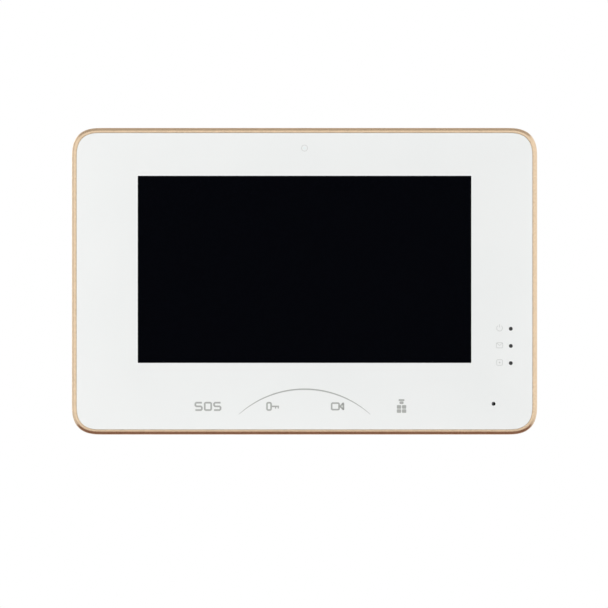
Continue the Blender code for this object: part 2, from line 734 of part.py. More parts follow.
def build():
    """Makes every piece, then hangs the moving ones from an empty on each joint's axis."""
    clear_scene()
    wall_plate()

    monitor = [front_glass(), glass_adhesive(), gold_trim(), front_frame(), rear_cover()]
    monitor += [touch_sensor(), lcd_gasket(), lcd_bezel(), *lcd_layers(), lcd_flex(), support_plate()]
    monitor += [main_board(), *board_parts(), lan_jack(), power_socket(), alarm_header(), card_socket()]
    monitor += [reset_switch(), *board_screws(), *case_screws()]
    monitor += [*keys(), *indicators(), *microphone(), *light_sensor(), *speaker()]
    lift = joint_frame("monitor_lift", Vector((0.0, 0.0, 0.0)), monitor)

    joint_frame("catch_slide", point(0.0, -52.0, 6.0), [lock_catch()], lift)
    joint_frame("reset_press", point(RESET_SPOT[0], -13.0, RESET_SPOT[1]), [reset_button()], lift)
    joint_frame("cone_travel", point(*SPEAKER_SPOT, 5.0), [speaker_cone()], lift)
    plug = joint_frame("plug_pull", point(PLUG_X, -14.3, 7.2), [power_plug()], lift)
    for number, screw in enumerate(clamp_screws(), 1):
        x = around(PLUG_X, PLUG_PITCH / 2.0)[number - 1]
        joint_frame(f"clamp_turn_{number}", point(x, PLUG_SCREW_Z, 5.0), [screw], plug)


build()
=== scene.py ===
import json
import math

import bmesh
import bpy
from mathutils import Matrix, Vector


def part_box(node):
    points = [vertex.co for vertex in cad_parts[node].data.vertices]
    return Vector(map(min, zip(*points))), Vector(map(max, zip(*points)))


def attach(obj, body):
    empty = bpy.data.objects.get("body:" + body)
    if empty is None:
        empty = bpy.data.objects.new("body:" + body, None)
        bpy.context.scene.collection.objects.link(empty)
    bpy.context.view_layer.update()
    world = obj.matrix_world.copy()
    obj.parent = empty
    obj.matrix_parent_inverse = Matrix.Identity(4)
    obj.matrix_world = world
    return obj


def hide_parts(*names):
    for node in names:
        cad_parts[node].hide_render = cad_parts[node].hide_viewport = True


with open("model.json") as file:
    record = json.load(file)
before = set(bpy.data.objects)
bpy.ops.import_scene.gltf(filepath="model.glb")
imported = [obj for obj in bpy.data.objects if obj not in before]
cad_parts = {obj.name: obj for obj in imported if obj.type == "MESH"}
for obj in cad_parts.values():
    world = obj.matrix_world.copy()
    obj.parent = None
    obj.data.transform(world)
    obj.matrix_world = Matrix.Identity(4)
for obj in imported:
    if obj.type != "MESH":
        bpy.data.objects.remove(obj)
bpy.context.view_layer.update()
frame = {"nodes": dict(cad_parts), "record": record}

# Sizes are in millimetres: x to the right, z up and d out from the wall, which is along -Y.
MM = 0.001
CORNER = 14.0  # reach of the outline's corners, which bend in gradually
CORNER_POWER = 2.7  # 2 would be a quarter circle
RIM = 2.5  # gold rim, seen from the front
CORNER_STEPS = 14
SHARP = math.radians(32)

# The screen window in the printed glass
WINDOW_HALF = (77.55, 43.5)
WINDOW_Z = 5.5

# Marks on the glass
KEY_Z = -58.2
ARC_RADIUS = 45.7
ARC_CENTRE = (0.0, -95.9)
ARC_HALF_ANGLE = 41.8
INK = (0.005, 0.03)  # how far ink stands proud of the glass
TENT = (0.90, 0.91, 0.92)  # brightness of the white tent that reflections see

# Back cover
COVER_WALL = 2.0
RECESS_X = 60.0
RECESS_Z = (-58.5, 51.5)
RECESS_FLOOR = 2.3
POCKET_X = 42.0
POCKET_Z = (-44.0, -14.0)
POCKET_FLOOR = 14.2
POCKET_WALL = 1.5
SCREW_SPOT = (97.0, 59.0)

# Wall plate
PLATE_THICK = 1.5
HOOK_X = (45.5, 55.5)
HOOK_SIDES = (HOOK_X, (-HOOK_X[1], -HOOK_X[0]))
HOOK_Z = (30.0, -30.0)


def spans(node):
    """A CAD node's extent in millimetres: its spans in x, z and d."""
    low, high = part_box(node)
    return (
        (low.x / MM, high.x / MM),
        (low.z / MM, high.z / MM),
        (-high.y / MM, -low.y / MM),
    )


def middle(span):
    return (span[0] + span[1]) / 2.0


def around(centre, half):
    return (centre - half, centre + half)


# Materials


class Surface:
    """A Principled material with its node tree, and helpers that vary it over the surface."""

    def __init__(self, name, roughness=0.5, metallic=0.0, coat=0.0, coat_roughness=0.03, ior=1.5):
        self.material = bpy.data.materials.new(name)
        self.material.use_nodes = True
        self.tree = self.material.node_tree
        self.shader = self.tree.nodes["Principled BSDF"]
        self.set(Roughness=roughness, Metallic=metallic, IOR=ior)
        self.shader.inputs["Coat Weight"].default_value = coat
        self.shader.inputs["Coat Roughness"].default_value = coat_roughness
        self.place = self.tree.nodes.new("ShaderNodeTexCoord").outputs["Object"]

    def set(self, **values):
        for socket, value in values.items():
            self.shader.inputs[socket].default_value = value

    def link(self, source, target):
        self.tree.links.new(source, target)

    def stretched(self, scale):
        """The surface's place, stretched along the axes."""
        node = self.tree.nodes.new("ShaderNodeMapping")
        node.inputs["Scale"].default_value = scale
        self.link(self.place, node.inputs["Vector"])
        return node.outputs["Vector"]

    def noise(self, size, detail=2.0, stretch=None):
        """Noise whose features are about size millimetres across."""
        node = self.tree.nodes.new("ShaderNodeTexNoise")
        node.inputs["Scale"].default_value = 1.0 / (size * MM)
        node.inputs["Detail"].default_value = detail
        self.link(self.stretched(stretch) if stretch else self.place, node.inputs["Vector"])
        return node.outputs["Fac"]

    def cells(self, size, feature="F1", output="Distance"):
        """Voronoi cells of about size millimetres."""
        node = self.tree.nodes.new("ShaderNodeTexVoronoi")
        node.feature = feature
        node.inputs["Scale"].default_value = 1.0 / (size * MM)
        self.link(self.place, node.inputs["Vector"])
        return node.outputs[output]

    def ramp(self, value, low, high, start=0.3, end=0.7):
        """A colour from low to high as the value goes from start to end."""
        node = self.tree.nodes.new("ShaderNodeValToRGB")
        node.color_ramp.elements[0].position = start
        node.color_ramp.elements[1].position = end
        node.color_ramp.elements[0].color = (*low, 1.0)
        node.color_ramp.elements[1].color = (*high, 1.0)
        self.link(value, node.inputs["Fac"])
        return node.outputs["Color"]

    def mix(self, factor, first, second):
        node = self.tree.nodes.new("ShaderNodeMix")
        node.data_type = "RGBA"
        self.link(factor, node.inputs["Factor"])
        for socket, colour in ((6, first), (7, second)):
            if isinstance(colour, tuple):
                node.inputs[socket].default_value = (*colour, 1.0)
            else:
                self.link(colour, node.inputs[socket])
        return node.outputs[2]

    def math(self, operation, first, second=0.0):
        node = self.tree.nodes.new("ShaderNodeMath")
        node.operation = operation
        for socket, value in enumerate((first, second)):
            if isinstance(value, float):
                node.inputs[socket].default_value = value
            else:
                self.link(value, node.inputs[socket])
        return node.outputs[0]

    def colour(self, value, low, high, start=0.3, end=0.7):
        self.link(self.ramp(value, low, high, start, end), self.shader.inputs["Base Color"])

    def rough(self, value, low, high):
        node = self.tree.nodes.new("ShaderNodeMapRange")
        node.inputs["From Min"].default_value = 0.3
        node.inputs["From Max"].default_value = 0.7
        node.inputs["To Min"].default_value = low
        node.inputs["To Max"].default_value = high
        self.link(value, node.inputs["Value"])
        self.link(node.outputs["Result"], self.shader.inputs["Roughness"])

    def bump(self, height, depth, strength=0.5):
        """Relief from a height, depth millimetres deep."""
        node = self.tree.nodes.new("ShaderNodeBump")
        node.inputs["Strength"].default_value = strength
        node.inputs["Distance"].default_value = depth * MM
        self.link(height, node.inputs["Height"])
        self.link(node.outputs["Normal"], self.shader.inputs["Normal"])


def tint(colour, factor):
    return tuple(min(1.0, channel * factor) for channel in colour)


def printed_glass():
    """White ceramic print seen through polished glass."""
    made = Surface("printed_glass", roughness=0.55, coat=1.0, coat_roughness=0.015)
    made.colour(made.noise(45.0), (0.842, 0.855, 0.848), (0.858, 0.869, 0.860))
    made.rough(made.noise(0.3), 0.50, 0.60)
    return made.material


def glass_edge():
    """The ground and polished edge of the glass, a little greener where it is deeper."""
    made = Surface("glass_edge", roughness=0.12, coat=1.0, coat_roughness=0.02)
    made.colour(made.noise(6.0), (0.80, 0.87, 0.87), (0.88, 0.92, 0.92))
    made.rough(made.noise(0.15), 0.08, 0.2)
    return made.material


def screen_glass():
    """Glass over the dark panel, with the faintest trace of the panel's cells."""
    made = Surface("screen_glass", roughness=0.3, coat=1.0, coat_roughness=0.01, ior=1.45)
    made.colour(made.cells(0.2), (0.0013, 0.0016, 0.0026), (0.0020, 0.0022, 0.0036))
    made.set(**{"Specular IOR Level": 0.0})
    made.rough(made.noise(0.4), 0.28, 0.34)
    return made.material


def ink(name, colour):
    """Printed ink with a slightly uneven density."""
    made = Surface(name, roughness=0.5, coat=1.0, coat_roughness=0.02)
    made.colour(made.noise(0.25, 4.0), tint(colour, 0.95), tint(colour, 1.05))
    made.rough(made.noise(0.1), 0.45, 0.6)
    return made.material


def metal(name, colour, roughness, size=0.6, stretch=None, relief=0.002, coat=0.0):
    """A metal with fine marks of about size millimetres, which run along one axis when stretched."""
    made = Surface(name, roughness=roughness, metallic=1.0, coat=coat)
    marks = made.noise(size, 4.0, stretch)
    made.colour(made.noise(size * 8.0), tint(colour, 0.96), tint(colour, 1.03))
    made.rough(marks, roughness * 0.75, roughness * 1.3)
    made.bump(marks, relief, 0.4)
    return made.material


def zinc(name, colour, roughness):
    """Zinc plating with its faint spangle of grains."""
    made = Surface(name, roughness=roughness, metallic=1.0)
    grains = made.cells(1.6, output="Color")
    made.colour(grains, tint(colour, 0.90), tint(colour, 1.05), 0.1, 0.9)
    made.rough(made.noise(0.5, 4.0), roughness * 0.8, roughness * 1.25)
    made.bump(made.noise(0.12), 0.002, 0.4)
    return made.material


def plastic(name, colour, roughness, grain=0.18, relief=0.006, coat=0.0):
    """A moulding with a spark-eroded grain."""
    made = Surface(name, roughness=roughness, coat=coat)
    made.colour(made.noise(14.0), tint(colour, 0.985), tint(colour, 1.015))
    made.rough(made.noise(grain * 3.0), roughness * 0.9, roughness * 1.15)
    made.bump(made.noise(grain, 3.0), relief, 0.5)
    return made.material


def foam(name, colour):
    """Closed-cell foam."""
    made = Surface(name, roughness=0.95)
    made.colour(made.cells(0.25), tint(colour, 0.6), tint(colour, 1.5), 0.1, 0.7)
    made.rough(made.noise(0.5), 0.85, 1.0)
    made.bump(made.cells(0.25), 0.05, 0.6)
    return made.material


def fibre(name, colour):
    """Pressed paper fibre."""
    made = Surface(name, roughness=0.9)
    made.colour(made.noise(0.3, 8.0, (1.0, 1.0, 0.3)), tint(colour, 0.7), tint(colour, 1.4))
    made.rough(made.noise(0.6), 0.8, 1.0)
    made.bump(made.noise(0.15, 6.0), 0.03, 0.6)
    return made.material


def circuit_board(name, mask, trace):
    """Solder mask over copper tracks that run in short straight lengths."""
    made = Surface(name, roughness=0.4, coat=0.3, coat_roughness=0.2)
    brick = made.tree.nodes.new("ShaderNodeTexBrick")
    brick.inputs["Scale"].default_value = 260.0
    brick.inputs["Mortar Size"].default_value = 0.12
    brick.inputs["Color1"].default_value = (0.0, 0.0, 0.0, 1.0)
    brick.inputs["Color2"].default_value = (0.1, 0.1, 0.1, 1.0)
    brick.inputs["Mortar"].default_value = (1.0, 1.0, 1.0, 1.0)
    turned_place = made.tree.nodes.new("ShaderNodeMapping")
    turned_place.inputs["Rotation"].default_value = (math.radians(90), 0.0, 0.0)
    made.link(made.place, turned_place.inputs["Vector"])
    made.link(turned_place.outputs["Vector"], brick.inputs["Vector"])
    made.link(made.mix(brick.outputs["Color"], mask, trace), made.shader.inputs["Base Color"])
    made.rough(made.noise(0.4), 0.32, 0.5)
    made.bump(brick.outputs["Color"], 0.03, 0.4)
    return made.material


def clear_sheet(name, colour, roughness):
    """A clear or milky sheet."""
    made = Surface(name, roughness=roughness, coat=0.5)
    made.colour(made.noise(5.0), tint(colour, 0.97), colour)
    made.rough(made.noise(0.3), roughness * 0.7, roughness * 1.4)
    made.bump(made.cells(0.6), 0.004, 0.3)
    return made.material


MATERIALS = {"printed_glass": printed_glass(), "glass_edge": glass_edge(), "screen_glass": screen_glass()}

# Each of the others: its kind, its name, its colour and the kind's other values
for kind, name, *values in [
    (ink, "grey_ink", (0.40, 0.41, 0.39)),
    (ink, "faint_ink", (0.62, 0.63, 0.62)),
    (ink, "smoked_window", (0.02, 0.02, 0.02)),
    (metal, "champagne_gold", (0.92, 0.70, 0.48), 0.27, 0.25, None, 0.001),
    (plastic, "white_abs", (0.80, 0.80, 0.79), 0.42),
    (plastic, "grey_plastic", (0.30, 0.31, 0.32), 0.5),
    (plastic, "black_plastic", (0.022, 0.022, 0.023), 0.45, 0.12, 0.008),
    (plastic, "green_plastic", (0.035, 0.27, 0.10), 0.38),
    (clear_sheet, "clear_film", (0.62, 0.66, 0.68), 0.15),
    (clear_sheet, "clear_acrylic", (0.80, 0.82, 0.83), 0.12),
    (zinc, "zinc_steel", (0.50, 0.51, 0.53), 0.36),
    (metal, "nickel_steel", (0.66, 0.64, 0.60), 0.25, 0.5, (1.0, 1.0, 8.0)),
    (metal, "aluminium", (0.70, 0.71, 0.72), 0.33, 0.4, (8.0, 1.0, 1.0)),
    (metal, "gold_contact", (0.85, 0.62, 0.25), 0.2, 0.2),
    (plastic, "ferrite", (0.035, 0.035, 0.038), 0.6, 0.3, 0.02),
    (circuit_board, "circuit_board", (0.012, 0.14, 0.055), (0.03, 0.24, 0.10)),
    (circuit_board, "flex_print", (0.50, 0.22, 0.04), (0.65, 0.33, 0.08)),
    (foam, "foam", (0.03, 0.03, 0.03)),
    (plastic, "rubber", (0.018, 0.018, 0.018), 0.75, 0.15, 0.01),
    (fibre, "paper_cone", (0.04, 0.04, 0.042)),
    (plastic, "cable_skin", (0.36, 0.02, 0.02), 0.4, 0.5, 0.004),
    (clear_sheet, "emitter", (0.85, 0.80, 0.55), 0.3),
]:
    MATERIALS[name] = kind(name, *values)


# Outlines, in the plane that a solid is drawn across


def point(x, z, d):
    return Vector((x, -d, z)) * MM


def place(spot, reach, along):
    a, b = spot
    if along == "d":
        return point(a, b, reach)
    if along == "x":
        return point(reach, a, b)
    return point(a, reach, b)


def rectangle(a, b):
    return [(a[0], b[0]), (a[1], b[0]), (a[1], b[1]), (a[0], b[1])]


def inset(a, b, margin):
    """Two spans, each shorter by the margin at both ends."""
    return (a[0] + margin, a[1] - margin), (b[0] + margin, b[1] - margin)


def corner_turns(a, b, reach, steps):
    """The centres of a rectangle's four corners, each with the cosines and sines of its quarter turn."""
    for corner, centre in enumerate(rectangle(*inset(a, b, reach))):
        for step in range(steps + 1):
            angle = math.pi * (1.0 + corner / 2.0) + math.pi / 2.0 * step / steps
            yield centre, math.cos(angle), math.sin(angle)


def rounded(a, b, radius, steps=CORNER_STEPS):
    """A rectangle from its two spans, with round corners."""
    return [(x + radius * c, y + radius * s) for (x, y), c, s in corner_turns(a, b, radius, steps)]


def case_outline(x, z, inward=0.0, steps=CORNER_STEPS):
    """The monitor's outline within two spans, drawn in, with corners that bend in gradually."""
    x, z = inset(x, z, inward)
    reach = CORNER - inward
    outline = []
    for (across, up), c, s in corner_turns(x, z, reach, steps):
        outline.append((across + reach * squared_off(c), up + reach * squared_off(s)))
    return outline


def case_sections(x, z, profile):
    """The monitor's outline at each step of a profile, whose steps say how far in and at what depth."""
    return [(case_outline(x, z, inward), reach) for inward, reach in profile]


def squared_off(value):
    """A cosine or sine, changed so that a quarter circle becomes a corner that bends in gradually."""
    return math.copysign(abs(value) ** (2.0 / CORNER_POWER), value) if abs(value) > 1e-9 else 0.0


def disc(centre, radius, sides=32):
    angles = [2.0 * math.pi / sides * i for i in range(sides)]
    return [(centre[0] + radius * math.cos(a), centre[1] + radius * math.sin(a)) for a in angles]


def filleted(corners, radius, steps=4):
    """An outline whose every corner is rounded, by less where its sides are short."""
    outline = []
    count = len(corners)
    for i in range(count):
        corner = Vector(corners[i])
        before = Vector(corners[i - 1]) - corner
        after = Vector(corners[(i + 1) % count]) - corner
        reach = min(radius, before.length * 0.45, after.length * 0.45)
        start = corner + before.normalized() * reach
        end = corner + after.normalized() * reach
        for step in range(steps + 1):
            t = step / steps
            outline.append(tuple(start * (1 - t) ** 2 + corner * 2 * t * (1 - t) + end * t**2))
    return outline


# Solids


def mesh_object(name, bm, finish, body=None, slot=None):
    """A named piece from a bmesh, smooth but for its sharp edges. It rides on a body unless it is a tool.

    The slot argument is not used.
    """
    bmesh.ops.recalc_face_normals(bm, faces=bm.faces)
    mesh = bpy.data.meshes.new(name)
    bm.to_mesh(mesh)
    bm.free()
    mesh.materials.append(MATERIALS[finish])
    mesh.shade_smooth()
    mesh.set_sharp_from_angle(angle=SHARP)
    obj = bpy.data.objects.new(name, mesh)
    bpy.context.scene.collection.objects.link(obj)
    if body:
        slot = slot or finish
        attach(obj, body)
    return obj


def skin(bm, rows, ring=False):
    """Faces between rows of vertices. A ring closes on itself, anything else is capped."""
    following = rows[1:] + (rows[:1] if ring else [])
    for row, after in zip(rows, following):
        for i in range(len(row)):
            j = (i + 1) % len(row)
            bm.faces.new((row[i], row[j], after[j], after[i]))
    if not ring:
        bm.faces.new(rows[0])
        bm.faces.new(rows[-1])


def loft(name, sections, finish, body=None, along="d", ring=False):
    """A closed body through sections, each an outline and its reach."""
    bm = bmesh.new()
    rows = [[bm.verts.new(place(spot, reach, along)) for spot in outline] for outline, reach in sections]
    skin(bm, rows, ring)
    return mesh_object(name, bm, finish, body)


def prism(name, outline, span, finish, body=None, along="d"):
    return loft(name, [(outline, span[0]), (outline, span[1])], finish, body, along)


def turned(name, centre, profile, finish, body=None, along="d", ring=False, sides=48):
    sections = [(disc(centre, radius, sides), reach) for radius, reach in profile]
    return loft(name, sections, finish, body, along, ring)


def boolean(body, tool, operation="DIFFERENCE"):
    """Applies a tool to a body and removes the tool."""
    modifier = body.modifiers.new("boolean", "BOOLEAN")
    modifier.operation = operation
    modifier.object = tool
    settle(body)
    body.data.set_sharp_from_angle(angle=SHARP)
    bpy.data.objects.remove(tool, do_unlink=True)


def settle(obj):
    """Turns a piece's evaluated shape into its own mesh."""
    graph = bpy.context.evaluated_depsgraph_get()
    mesh = bpy.data.meshes.new_from_object(obj.evaluated_get(graph))
    obj.modifiers.clear()
    obj.data = mesh


def cut(body, outline, span, along="d"):
    boolean(body, prism("tool", outline, span, "rubber", along=along))


def join(body, outline, span, along="d"):
    boolean(body, prism("tool", outline, span, "rubber", along=along), "UNION")


def soften(obj, width, segments=2, angle=SHARP):
    """Small round edges."""
    modifier = obj.modifiers.new("edges", "BEVEL")
    modifier.width = width * MM
    modifier.segments = segments
    modifier.limit_method = "ANGLE"
    modifier.angle_limit = angle
    return level(obj)


def level(obj):
    """Lets flat faces shade flat, right up to their round edges."""
    modifier = obj.modifiers.new("normals", "WEIGHTED_NORMAL")
    modifier.keep_sharp = True
    settle(obj)
    return obj


# The glass


def glass_panel():
    """The white-printed part of the glass, with a polished front edge, round the screen window."""
    x, z, d = spans("front_glass")
    edge = 0.16
    back, front = d
    case_x, case_z, _ = spans("gold_trim")
    gap = RIM + 0.03
    outer = case_outline(case_x, case_z, gap)
    sections = [(outer, back), (outer, front - edge)]
    for step in range(1, 5):
        angle = math.pi / 2.0 * step / 4
        inward = edge * (1.0 - math.cos(angle))
        outline = case_outline(case_x, case_z, gap + inward)
        sections.append((outline, front - edge * (1.0 - math.sin(angle))))
    window = window_outline()
    sections += [(window, front), (window, back)]
    panel = loft("glass_panel", sections, "printed_glass", "monitor", ring=True)
    panel.data.materials.append(MATERIALS["glass_edge"])
    for polygon in panel.data.polygons:
        centre = polygon.center / MM
        if -centre.y < front - 0.001 and (abs(centre.x) > x[1] - 12.0 or abs(centre.z) > z[1] - 12.0):
            polygon.material_index = 1
    mic_x, mic_z, _ = spans("mic_boot")
    mic = (middle(mic_x), middle(mic_z))
    sides = [(0.8, back - 1), (0.8, front - 0.1), (0.9, front + 0.001), (0.9, front + 1)]
    hole = turned("tool", mic, sides, "rubber")
    boolean(panel, hole)
    # The mic hole's glass walls take the dark rubber finish: painted shade, so that the narrow hole reads
    # black.
    panel.data.materials.append(MATERIALS["rubber"])
    for polygon in panel.data.polygons:
        spot = polygon.center / MM
        in_painted_shade_hole = math.hypot(spot.x - mic[0], spot.z - mic[1]) < 1.0
        if in_painted_shade_hole and back + 0.01 < -spot.y < front - 0.01:
            polygon.material_index = 2
    level(panel)
    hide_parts("front_glass")


def screen_window():
    """The clear part of the glass, over the dark panel."""
    d = spans("front_glass")[2]
    prism("screen_window", window_outline(), d, "screen_glass", "monitor")


def window_outline():
    return rounded(around(0.0, WINDOW_HALF[0]), around(WINDOW_Z, WINDOW_HALF[1]), 0.25)


# Marks on the glass


class Ink:
    """Thin raised ink on the front of the glass, gathered in one mesh."""

    def __init__(self):
        self.bm = bmesh.new()
        front = spans("front_glass")[2][1]
        self.levels = (front + INK[0], front + INK[1])

    def fill(self, outline):
        rows = [[self.bm.verts.new(place(spot, level, "d")) for spot in outline] for level in self.levels]
        skin(self.bm, rows)

    def line(self, path, width, closed=False):
        """A line through points. The width is one number, or one for each point."""
        widths = width if isinstance(width, list) else [width] * len(path)
        spots = [Vector(p) for p in path]
        count = len(spots)
        left, right = [], []
        for i, spot in enumerate(spots):
            before = spots[i - 1] if closed or i else spot
            after = spots[(i + 1) % count] if closed or i < count - 1 else spot
            into, out = (spot - before), (after - spot)
            into = into.normalized() if into.length else out.normalized()
            out = out.normalized() if out.length else into
            across = Vector((-into.y, into.x)) + Vector((-out.y, out.x))
            across *= widths[i] / across.length_squared
            left.append(tuple(spot + across))
            right.append(tuple(spot - across))
        low, high = self.levels
        sides = [(left, low), (right, low), (right, high), (left, high)]
        rows = []
        for i in range(count):
            rows.append([self.bm.verts.new(place(side[i], level, "d")) for side, level in sides])
        skin(self.bm, rows, closed)

    def finish(self, name, colour):
        return mesh_object(name, self.bm, colour, "monitor", "printed_glass")


def box_ring(mark, x, z, radius, width, steps=5):
    mark.line(rounded(x, z, radius, steps), width, closed=True)


def key_marks():
    """SOS in plain strokes, a key, a camera and an attendant, over the four touch keys."""
    stroke = 0.78
    tall = 1.72  # half height of the letters, on their centre line
    letter_half, pitch = 1.5, 4.35
    sos_x = middle(spans("key_pad_1")[0]) + 0.1

    sos = Ink()
    for step in (-1, 1):
        x0, x1 = around(sos_x + step * pitch, letter_half)
        top, low = KEY_Z + tall, KEY_Z - tall
        bend = [(x1, top), (x0, top), (x0, KEY_Z), (x1, KEY_Z), (x1, low), (x0, low)]
        path = [bend[0]]
        for corner, before, after in zip(bend[1:-1], bend, bend[2:]):
            path += [corner_point(corner, before), corner_point(corner, after)]
        sos.line(path + [bend[-1]], stroke)
    box_ring(sos, around(sos_x, letter_half), around(KEY_Z, tall), 0.6, stroke)
    sos.finish("mark_sos", "grey_ink")

    key = Ink()
    key_x = middle(spans("key_pad_2")[0]) + 0.2
    box_ring(key, (key_x - 2.65, key_x - 0.75), around(KEY_Z, 1.7), 0.6, 0.74)
    key.line([(key_x - 0.4, KEY_Z), (key_x + 2.9, KEY_Z)], 0.66)
    for tooth in (1.35, 2.6):
        key.line([(key_x + tooth, KEY_Z - 0.3), (key_x + tooth, KEY_Z - 1.0)], 0.55)
    key.finish("mark_key", "grey_ink")

    camera = Ink()
    camera_x = middle(spans("key_pad_3")[0]) + 0.3
    box_ring(camera, (camera_x - 2.7, camera_x + 0.75), around(KEY_Z, 1.5), 0.5, 0.74)
    lens = [(camera_x + 1.25, KEY_Z), (camera_x + 2.75, KEY_Z - 1.5), (camera_x + 2.75, KEY_Z + 1.5)]
    camera.line(filleted(lens, 0.3), 0.8, closed=True)
    camera.finish("mark_camera", "grey_ink")

    attendant = Ink()
    attendant_x = middle(spans("key_pad_4")[0]) + 0.1
    attendant.fill(rounded(around(attendant_x, 1.35), (-55.75, -54.85), 0.3, 4))
    attendant.fill(rounded(around(attendant_x, 0.95), (-57.1, -55.9), 0.45, 4))
    for side in (-1.18, 1.18):
        for low, high in ((-59.3, -57.6), (-61.2, -59.55)):
            attendant.fill(rounded(around(attendant_x + side, 1.0), (low, high), 0.35, 4))
    attendant.finish("mark_attendant", "grey_ink")


def corner_point(corner, towards, reach=0.45):
    """A point on the way from a corner to its neighbour, to cut the corner."""
    corner, towards = Vector(corner), Vector(towards)
    return tuple(corner + (towards - corner).normalized() * reach)


def arc_mark():
    """The arc over the middle keys, which thins out towards its ends."""
    steps = 96
    path, widths = [], []
    for step in range(steps + 1):
        t = 2.0 * step / steps - 1.0
        angle = math.radians(90.0 - ARC_HALF_ANGLE * t)
        across, up = ARC_RADIUS * math.cos(angle), ARC_RADIUS * math.sin(angle)
        path.append((ARC_CENTRE[0] + across, ARC_CENTRE[1] + up))
        widths.append(0.62 * (1.0 - 0.75 * abs(t) ** 2.4))
    arc = Ink()
    arc.line(path, widths)
    arc.finish("mark_arc", "grey_ink")


def light_marks():
    """The indicator windows and the faint mark beside each."""
    for name in ("power", "message", "alarm"):
        x, z, _ = spans("led_" + name)
        spot = (middle(x), middle(z))
        window = Ink()
        window.fill(disc(spot, 0.9, 32))
        window.finish("light_window_" + name, "smoked_window")

        mark = Ink()
        x, z = spot[0] - 5.2, spot[1] + 0.3
        if name == "power":
            angles = [math.radians(35.0 + 290.0 * i / 28) for i in range(29)]
            ring = [(x + 1.35 * math.sin(a), z + 1.35 * math.cos(a)) for a in angles]
            mark.line(ring, 0.28)
            mark.line([(x, z + 0.3), (x, z + 1.7)], 0.28)
        elif name == "message":
            box_ring(mark, around(x, 1.45), around(z, 1.2), 0.4, 0.28)
            mark.line([(x - 1.3, z + 1.0), (x, z - 0.1), (x + 1.3, z + 1.0)], 0.24)
        else:
            box_ring(mark, around(x, 1.35), around(z, 1.3), 0.55, 0.28)
            mark.fill(disc((x, z), 0.42, 20))
        mark.finish("mark_" + name, "faint_ink")


def sensor_mark():
    """The faint ring over the light sensor."""
    x, z, _ = spans("sensor_holder")
    spot = (middle(x), middle(z))
    ring = Ink()
    ring.line(disc(spot, 1.42, 40), 0.26, closed=True)
    ring.finish("sensor_ring", "faint_ink")
    lens = Ink()
    lens.fill(disc(spot, 0.62, 28))
    lens.finish("sensor_lens", "glass_edge")


# The rim


def gold_rim():
    """A flat side, a front edge that rolls over in a bead, and a short roll down to the glass."""
    x, z, d = spans("gold_trim")
    back, crest = d
    shoulder = crest - 3.0
    bead = RIM * 0.9
    profile = [(0.25, back), (0.0, back + 0.25), (0.0, shoulder)]
    for step in range(1, 13):
        angle = math.pi / 2.0 * step / 12
        profile.append((bead * (1.0 - math.cos(angle)), shoulder + (crest - shoulder) * math.sin(angle)))
    inner = RIM - bead
    for step in range(1, 6):
        angle = math.pi / 2.0 * step / 5
        profile.append((bead + inner * math.sin(angle), crest - inner * (1.0 - math.cos(angle))))
    profile.append((RIM, back))
    rim = loft("gold_rim", case_sections(x, z, profile), "champagne_gold", "monitor", ring=True)
    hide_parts("gold_trim")


# Back of the monitor


class Tool:
    """Outlines drawn out into one tool, which is cut out of a body or joined to it."""

    def __init__(self):
        self.bm = bmesh.new()

    def add(self, outline, span, along="d"):
        rows = [[self.bm.verts.new(place(spot, reach, along)) for spot in outline] for reach in span]
        skin(self.bm, rows)

    def apply(self, body, operation="DIFFERENCE"):
        boolean(body, mesh_object("tool", self.bm, "rubber"), operation)


def mirrored_spots(spot):
    x, z = spot
    return [(-x, z), (x, z), (-x, -z), (x, -z)]


def plus_sign(centre, arm, half):
    """The outline of a cross recess."""
    corners = [(-half, arm), (half, arm), (half, half), (arm, half), (arm, -half), (half, -half)]
    corners += [(-x, -z) for x, z in corners]
    return [(centre[0] + x, centre[1] + z) for x, z in corners]


